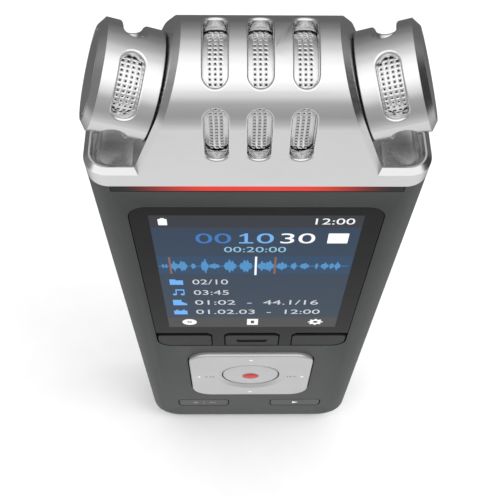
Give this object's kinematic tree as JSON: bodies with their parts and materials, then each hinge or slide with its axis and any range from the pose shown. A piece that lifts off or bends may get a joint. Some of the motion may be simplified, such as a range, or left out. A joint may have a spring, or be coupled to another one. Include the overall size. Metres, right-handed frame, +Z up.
{
  "type": "handheld voice recorder",
  "caption": "Slim handheld voice recorder with a perforated microphone head, two slotted side microphones, a display, soft keys, a tilting pad and side sockets.",
  "frame": {"origin": "middle of the whole box at the bottom end, with the recorder standing upright", "axes": "+X to the right as seen from the front, +Y from the front to the back, +Z up towards the microphones"},
  "size_m": [0.046, 0.0162, 0.1272],
  "materials": {
    "body_plastic": "fine satin moulding, dark grey",
    "light_window": "smoky red light window",
    "silver_housing": "satin silver",
    "silver_barrel": "satin silver",
    "wire_mesh": "fine perforated sheet",
    "display_glass": "clear gloss window",
    "display_panel": "lit display",
    "pad_plastic": "silver paint on plastic",
    "red_plastic": "clear red",
    "key_plastic": "dark semi-gloss",
    "black_plastic": "plain moulding",
    "black_rubber": "dull",
    "black_foam": "dull foam",
    "circuit_board": "green solder mask",
    "plain_steel": "plated",
    "dome_steel": "domes on a clear sheet",
    "black_steel": "black oxide",
    "capsule_can": "plain can",
    "battery_wrap": "wrapped cell",
    "insert_brass": "plain brass"
  },
  "bodies": {
    "root": {"front_shell": "body_plastic", "rear_cover": "body_plastic", "light_guide": "light_window", "light_board": "circuit_board", "mic_head": "silver_housing", "head_mesh": "wire_mesh", "head_board": "circuit_board", "barrel_washers": "black_rubber", "barrel_nuts": "plain_steel", "centre_mic_boot": "black_rubber", "centre_mic_capsule": "capsule_can", "display_window": "display_glass", "display_gasket": "black_foam", "lcd_module": "display_panel", "lcd_frame": "black_plastic", "main_board": "circuit_board", "dome_sheet": "dome_steel", "ring_saddles": "plain_steel", "shield_can": "plain_steel", "battery": "battery_wrap", "battery_pad": "black_foam", "speaker": "black_plastic", "speaker_gasket": "black_foam", "headphone_jack": "black_plastic", "microphone_jack": "black_plastic", "usb_socket": "plain_steel", "card_socket": "plain_steel", "card_door_pin": "plain_steel", "hold_switch": "black_plastic", "tripod_insert": "insert_brass", "case_screws": "black_steel", "board_screws": "plain_steel", "head_screws": "black_steel", "mic_board_screws": "plain_steel", "left_barrel": "silver_barrel", "left_barrel_cap": "silver_barrel", "left_barrel_mesh": "wire_mesh", "left_mic_boot": "black_rubber", "left_mic_capsule": "capsule_can", "right_barrel": "silver_barrel", "right_barrel_cap": "silver_barrel", "right_barrel_mesh": "wire_mesh", "right_mic_boot": "black_rubber", "right_mic_capsule": "capsule_can"},
    "left_soft_key": {"left_soft_key": "key_plastic"},
    "middle_soft_key": {"middle_soft_key": "key_plastic"},
    "right_soft_key": {"right_soft_key": "key_plastic"},
    "pivot_ring": {"nav_pivot_ring": "black_plastic"},
    "pad": {"nav_pad": "pad_plastic"},
    "record": {"record_button": "pad_plastic", "record_dot": "red_plastic"},
    "stop": {"stop_key": "key_plastic"},
    "play": {"play_key": "key_plastic"},
    "door": {"card_door": "body_plastic"},
    "hold": {"hold_knob": "key_plastic"}
  },
  "joints": [
    {"name": "left_soft_key_press", "type": "slide", "parent": "root", "child": "left_soft_key", "axis": [0, 1, 0], "range_m": [0, 0.0004], "stiffness_N_per_m": 2500},
    {"name": "middle_soft_key_press", "type": "slide", "parent": "root", "child": "middle_soft_key", "axis": [0, 1, 0], "range_m": [0, 0.0004], "stiffness_N_per_m": 2500},
    {"name": "right_soft_key_press", "type": "slide", "parent": "root", "child": "right_soft_key", "axis": [0, 1, 0], "range_m": [0, 0.0004], "stiffness_N_per_m": 2500},
    {"name": "record_press", "type": "slide", "parent": "root", "child": "record", "axis": [0, 1, 0], "range_m": [0, 0.0004], "stiffness_N_per_m": 2500},
    {"name": "stop_press", "type": "slide", "parent": "root", "child": "stop", "axis": [0, 1, 0], "range_m": [0, 0.0004], "stiffness_N_per_m": 2500},
    {"name": "play_press", "type": "slide", "parent": "root", "child": "play", "axis": [0, 1, 0], "range_m": [0, 0.0004], "stiffness_N_per_m": 2500},
    {"name": "pad_tilt_up_down", "type": "hinge", "parent": "root", "child": "pivot_ring", "pos_m": [0, -0.00305, 0.033], "axis": [1, 0, 0], "range_deg": [-1.25, 1.25], "stiffness_Nm_per_rad": 0.8},
    {"name": "pad_tilt_left_right", "type": "hinge", "parent": "pivot_ring", "child": "pad", "pos_m": [0, -0.00305, 0.033], "axis": [0, 0, 1], "range_deg": [-1.25, 1.25], "stiffness_Nm_per_rad": 0.8},
    {"name": "hold_slide", "type": "slide", "parent": "root", "child": "hold", "axis": [0, 0, 1], "range_m": [-0.002, 0.002]},
    {"name": "card_door_swing", "type": "hinge", "parent": "root", "child": "door", "pos_m": [-0.02225, -0.0011, 0.02], "axis": [0, 0, 1], "range_deg": [0, 95]}
  ]
}
